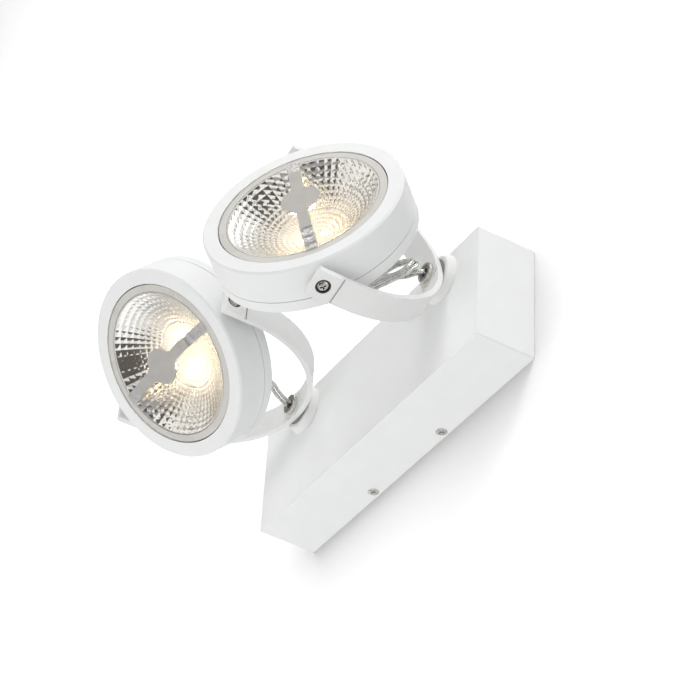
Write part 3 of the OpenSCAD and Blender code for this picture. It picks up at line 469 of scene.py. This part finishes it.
def dress(material, edge, *names):
    """Gives CAD nodes their material, joins their loose triangles and rounds their edges."""
    for name in names:
        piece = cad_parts[name]
        piece.data.materials.clear()
        piece.data.materials.append(material)
        weld = piece.modifiers.new("join", "WELD")
        weld.merge_threshold = weld_gap
        if edge:
            flat = piece.modifiers.new("flat_faces", "DECIMATE")
            flat.decimate_type = "DISSOLVE"
            flat.angle_limit = flat_angle
            rounding = piece.modifiers.new("rounded_edges", "BEVEL")
            rounding.width = edge
            rounding.segments = 3
            rounding.limit_method = "ANGLE"
            rounding.angle_limit = fold_angle
            rounding.use_clamp_overlap = True
        smooth = piece.modifiers.new("smooth", "NODES")
        smooth.node_group = smoothing
        if edge:
            weighted = piece.modifiers.new("flat_shading", "WEIGHTED_NORMAL")
            weighted.keep_sharp = True


def pair(*stems):
    """The left and the right node of each stem."""
    return [stem + "_" + s for stem in stems for s in sides]


dress(white_coat, 0.7 * mm, "base_cover")
dress(strap_coat_painted_darker, 0.35 * mm, *pair("swivel_disc"))
dress(strap_coat_painted_darker, 0, *pair("yoke"))

# Zinc-plated steel: inside the base its bracket, the driver's screws, the stop washers and the lock
# nuts, and behind each head the screws of its rear cover.
zinc = new_material("zinc_plate", (0.62, 0.63, 0.64), 0.38, 1.0)
add_variation(zinc, ((0.55, 0.56, 0.57), (0.70, 0.71, 0.73)), 220, (0.30, 0.46))
add_grain(zinc, 900, 0.01 * mm, (1, 1, 0.2))
dress(zinc, 0.2 * mm, "wall_bracket", "driver_screws")
dress(zinc, 0.15 * mm, *pair("stop_washer", "lock_nut", "rear_screws"))

# Pivot screws and the nipples that the yokes turn on are nickel plated, a little worn and warm. The
# base cover's countersunk screws are bright zinc.
nickel = new_material("nickel_plate", (0.42, 0.39, 0.36), 0.15, 1.0)
add_variation(nickel, ((0.30, 0.275, 0.25), (0.55, 0.52, 0.48)), 900, (0.1, 0.2))
# Painted shade in the pivot screws' cross recesses and the hollows around their heads.
paint_shade_in_recesses(nickel, dark=(0.03, 0.027, 0.024), reach=1.2 * mm, closed=0.25, clear=0.8)
dress(nickel, 0.12 * mm, *pair("pivot_screws"))
warm_nickel = new_material("warm_nickel_plate", (0.70, 0.66, 0.60), 0.12, 1.0)
add_variation(warm_nickel, ((0.48, 0.44, 0.39), (0.86, 0.83, 0.78)), 600, (0.08, 0.16))
dress(warm_nickel, 0.2 * mm, *pair("swivel_nipple"))
bright_zinc = new_material("bright_zinc_screw", (0.74, 0.73, 0.70), 0.22, 1.0)
add_variation(bright_zinc, ((0.62, 0.61, 0.58), (0.82, 0.81, 0.79)), 900, (0.16, 0.28))
dress(bright_zinc, 0.1 * mm, "cover_screws")

# Driver case and terminal block: moulded plastic, white and cream, fixed to the bracket.
case_white = new_material("driver_case_white", (0.78, 0.78, 0.76), 0.55)
add_variation(case_white, ((0.75, 0.75, 0.73), (0.80, 0.80, 0.78)), 90, (0.5, 0.62))
add_grain(case_white, 1200, 0.02 * mm)
dress(case_white, 0.5 * mm, "driver")
cream = new_material("cream_moulding", (0.76, 0.74, 0.62), 0.42)
add_variation(cream, ((0.73, 0.71, 0.59), (0.79, 0.77, 0.66)), 120, (0.36, 0.5))
add_grain(cream, 1400, 0.01 * mm)
dress(cream, 0.3 * mm, "terminal_block")

# Brass: the terminal block's clamp screws, the earth screw and the lamps' contact blades.
brass = new_material("bright_brass", (0.72, 0.55, 0.24), 0.28, 1.0)
add_variation(brass, ((0.60, 0.44, 0.18), (0.78, 0.62, 0.30)), 400, (0.2, 0.38))
dress(brass, 0.1 * mm, "terminal_screws", "earth_screw", *pair("lamp_contacts"))

# Leads in the base: soft insulated wires, brown for the mains, green for earth, dark for the lamps.
for name, colour, wires in (
    ("earth_insulation", (0.16, 0.36, 0.04), ("earth_lead",)),
    ("mains_insulation", (0.14, 0.055, 0.022), ("mains_leads",)),
    ("lamp_insulation", (0.022, 0.020, 0.020), pair("lamp_leads")),
):
    insulation = new_material(name, colour, 0.4)
    drift = [[min(1, c * share) for c in colour] for share in (0.8, 1.2)]
    add_variation(insulation, drift, 150, (0.32, 0.48))
    dress(insulation, 0, *wires)

# Rubber and nylon: mains grommet, swivel washers, nipple bushes, pivot bushes and the head's gland.
black_rubber = new_material("black_rubber", (0.03, 0.03, 0.03), 0.6)
add_variation(black_rubber, ((0.025, 0.025, 0.025), (0.04, 0.04, 0.04)), 200, (0.55, 0.7))
dress(black_rubber, 0.2 * mm, "cable_grommet")
black_nylon = new_material("black_nylon", (0.025, 0.024, 0.024), 0.4)
add_variation(black_nylon, ((0.02, 0.02, 0.02), (0.035, 0.034, 0.033)), 300, (0.34, 0.5))
dress(black_nylon, 0.12 * mm, *pair("pivot_bushes"))
grey_nylon = new_material("grey_nylon_washer", (0.20, 0.20, 0.195), 0.45)
add_variation(grey_nylon, ((0.17, 0.17, 0.165), (0.24, 0.24, 0.235)), 300, (0.4, 0.54))
dress(grey_nylon, 0.12 * mm, *pair("swivel_washer"))
grey_rubber = new_material("grey_bush_rubber", (0.16, 0.165, 0.175), 0.5)
add_variation(grey_rubber, ((0.13, 0.135, 0.145), (0.20, 0.205, 0.215)), 300, (0.42, 0.58))
dress(grey_rubber, 0.12 * mm, *pair("nipple_bush"))
pale_rubber = new_material("pale_gland_rubber", (0.66, 0.66, 0.65), 0.55)
add_variation(pale_rubber, ((0.62, 0.62, 0.61), (0.70, 0.70, 0.69)), 160, (0.5, 0.62))
dress(pale_rubber, 0.3 * mm, *pair("cable_gland"))

# Heads: die-cast ring and rear cover with turned collars on the pivots, in the same white coat.
cast_coat = powder_coat("white_coat_on_casting", (0.80, 0.81, 0.80),
                        ((0.79, 0.80, 0.795), (0.815, 0.825, 0.82)))
dress(cast_coat, 0.3 * mm, *pair("head_ring", "rear_cover", "pivot_collars"))

# Lamp housing: die-cast aluminium with cooling ribs; its socket is glazed ceramic, its clips spring steel.
cast_grey = new_material("cast_lamp_housing", (0.45, 0.45, 0.46), 0.45, 1.0)
add_variation(cast_grey, ((0.38, 0.38, 0.39), (0.52, 0.52, 0.53)), 260, (0.4, 0.55))
add_grain(cast_grey, 1100, 0.03 * mm)
dress(cast_grey, 0, *pair("lamp_body"))
ceramic = new_material("glazed_ceramic", (0.74, 0.71, 0.63), 0.22)
add_variation(ceramic, ((0.70, 0.67, 0.59), (0.78, 0.75, 0.68)), 140, (0.16, 0.3))
dress(ceramic, 0.3 * mm, *pair("lamp_socket"))
spring = new_material("bright_spring_steel", (0.58, 0.59, 0.60), 0.22, 1.0)
add_variation(spring, ((0.50, 0.51, 0.53), (0.66, 0.67, 0.68)), 350, (0.16, 0.3))
dress(spring, 0.1 * mm, *pair("lamp_clips"))

# Lamp rim: a moulded ring in pale greige, satin, that holds the reflector's mouth.
greige = new_material("pale_lamp_rim", (0.60, 0.58, 0.54), 0.3)
add_variation(greige, ((0.58, 0.56, 0.52), (0.63, 0.61, 0.58)), 40, (0.24, 0.36))
dress(greige, 0.25 * mm, *pair("lamp_rim"))

# Light-emitting module: a round board under the bridge whose phosphor cap shines back into the bowl.
phosphor = new_material("phosphor_cap", (0.90, 0.70, 0.25), 0.5)
main_shader(phosphor).inputs["Emission Color"].default_value = (1.0, 0.83, 0.58, 1)
main_shader(phosphor).inputs["Emission Strength"].default_value = 75
add_variation(phosphor, ((0.88, 0.66, 0.20), (0.92, 0.74, 0.32)), 500)
dress(phosphor, 0, *pair("led_module"))

# Bridge: an aluminium casting across the lamp, satin on its middle plate and polished on its arms.
satin = new_material("satin_bridge", (0.53, 0.515, 0.49), 0.38, 0.5)
add_variation(satin, ((0.51, 0.495, 0.47), (0.56, 0.545, 0.52)), 120, (0.34, 0.44))
add_grain(satin, 1600, 0.006 * mm)
dress(satin, 0.3 * mm, *pair("lamp_bridge"))
bright_end = new_material("polished_bridge_end", (0.84, 0.83, 0.81), 0.1, 0.75)
add_variation(bright_end, ((0.78, 0.77, 0.75), (0.90, 0.89, 0.88)), 300, (0.05, 0.1))
add_grain(bright_end, 150, 0.8 * mm)
plate_reach = 33 * mm
for s in sides:
    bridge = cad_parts["lamp_bridge_" + s]
    bridge.data.materials.append(bright_end)
    to_head = head_frame[s].inverted()
    for face in bridge.data.polygons:
        if abs((to_head @ bridge.matrix_world @ face.center).x) > plate_reach:
            face.material_index = 1

# Reflector: a bowl pressed from bright metal into 60 sectors of small pillowed facets that spread the
# light. The facets near the bottom are so fine that they scatter the light of the module above them.
mouth_r = 50.5 * mm
mouth_z = 10.9 * mm
bowl_depth = 24.9 * mm
centre_r = 4 * mm
sectors = 60
rings = 14
parts = 4
pillow = 0.1
facet_edge = radians(9)
sheet_thickness = 0.6 * mm
polished = new_material("polished_reflector", (0.88, 0.87, 0.85), 0.07, 1.0)
add_variation(polished, ((0.84, 0.83, 0.80), (0.92, 0.91, 0.89)), 160)
nodes, links = polished.node_tree.nodes, polished.node_tree.links
reach = nodes.new("ShaderNodeAttribute")
reach.attribute_name = "reach"
fineness = nodes.new("ShaderNodeMapRange")
fineness.inputs["From Min"].default_value = 0.14
fineness.inputs["From Max"].default_value = 0.8
fineness.inputs["To Min"].default_value = 0.45
fineness.inputs["To Max"].default_value = 0.07
links.new(reach.outputs["Fac"], fineness.inputs["Value"])
haze = nodes.new("ShaderNodeBsdfAnisotropic")
haze.inputs["Color"].default_value = (0.84, 0.82, 0.78, 1)
haze.inputs["Roughness"].default_value = 0.36
both = nodes.new("ShaderNodeMixShader")
links.new(fineness.outputs[0], both.inputs["Fac"])
links.new(main_shader(polished).outputs[0], both.inputs[1])
links.new(haze.outputs[0], both.inputs[2])
links.new(both.outputs[0], nodes["Material Output"].inputs["Surface"])


def bowl_point(u, v):
    """A point of the bowl: u counts sectors round it, v counts rings outwards."""
    r = centre_r + (mouth_r - centre_r) * v / rings
    width, depth = 2 * pi * r / sectors, (mouth_r - centre_r) / rings
    across, along = 2 * (u % 1) - 1, 2 * (v % 1) - 1
    rise = pillow * min(width, depth) * (1 - across * across) * (1 - along * along)
    slope = 2 * bowl_depth * r / mouth_r ** 2
    lean = (1 + slope * slope) ** 0.5
    r_in = r - rise * slope / lean
    a = 2 * pi * u / sectors
    return (r_in * cos(a), r_in * sin(a), mouth_z - bowl_depth * (1 - (r / mouth_r) ** 2) + rise / lean)


around, out = sectors * parts, rings * parts
corners, reaches = [], []
for k in range(out + 1):
    corners += [bowl_point(i / parts, k / parts) for i in range(around)]
    reaches += [(centre_r + (mouth_r - centre_r) * k / out) / mouth_r] * around
faces = []
for k in range(out):
    inner, outer = k * around, (k + 1) * around
    faces += [(inner + i, inner + (i + 1) % around, outer + (i + 1) % around, outer + i)
              for i in range(around)]
middle = len(corners)
corners.append((0, 0, mouth_z - bowl_depth))
reaches.append(0)
faces += [(middle, (i + 1) % around, i) for i in range(around)]
for s in sides:
    mesh = bpy.data.meshes.new("reflector_" + s + "_facets")
    mesh.from_pydata([head_frame[s] @ Vector(c) for c in corners], [], faces)
    mesh.attributes.new("reach", "FLOAT", "POINT").data.foreach_set("value", reaches)
    bowl = bpy.data.objects.new("reflector_" + s + "_facets", mesh)
    bpy.context.scene.collection.objects.link(bowl)
    pick(bowl)
    bpy.ops.object.shade_smooth_by_angle(angle=facet_edge)
    shell = bowl.modifiers.new("sheet", "SOLIDIFY")
    shell.thickness = sheet_thickness
    shell.offset = -1
    bpy.ops.object.modifier_apply(modifier="sheet")
    bowl.data.materials.append(polished)
    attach(bowl, "head_" + s)
    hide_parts("reflector_" + s)
